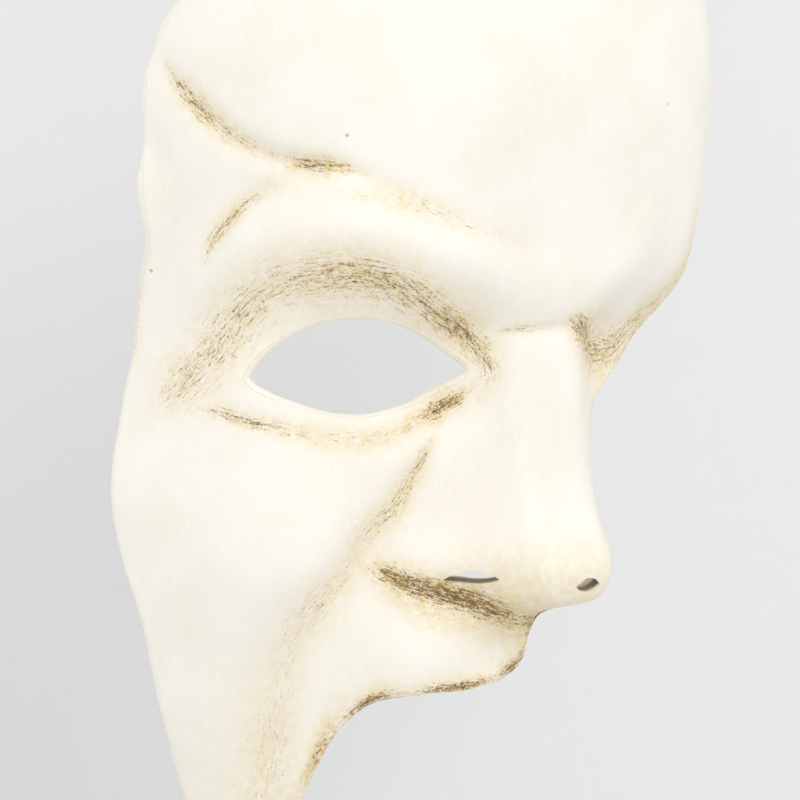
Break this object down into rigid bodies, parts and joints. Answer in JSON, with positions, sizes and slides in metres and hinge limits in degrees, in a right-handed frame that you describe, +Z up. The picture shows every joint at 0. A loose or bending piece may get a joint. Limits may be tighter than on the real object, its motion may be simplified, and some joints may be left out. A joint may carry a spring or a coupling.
{
  "type": "venetian masquerade mask",
  "caption": "Asymmetric half-face papier-mache mask covering forehead, one eye and cheek, nose and upper lip, with a pointed jaw extension and ribbon eyelets on cloth tabs inside.",
  "frame": {"origin": "on the midline of the face, level with the eye opening, in the plane of the temple rim where the wearer's face meets the mask", "axes": "+Z up as worn, the face looks to -Y, +X is the wearer's left"},
  "size_m": [0.1323, 0.0601, 0.2016],
  "materials": {
    "painted_papier_mache": "ivory gesso and acrylic over papier-mache, satin, with ochre-brown patina rubbed into creases and edges",
    "edging_paper": "painted paper strip rolled over the cut edge, with brown patina",
    "lining_paper": "matt torn paper strips, pasted",
    "tab_cloth": "stiff ribbed ribbon cloth, dark olive",
    "eyelet_brass": "plain pressed brass, slightly dulled"
  },
  "bodies": {
    "root": {"shell": "painted_papier_mache", "lining": "lining_paper", "rim_edging": "edging_paper", "eye_edging": "edging_paper", "tab_right": "tab_cloth", "tab_left": "tab_cloth", "eyelet_right": "eyelet_brass", "eyelet_left": "eyelet_brass", "washer_right": "eyelet_brass", "washer_left": "eyelet_brass"}
  },
  "joints": []
}
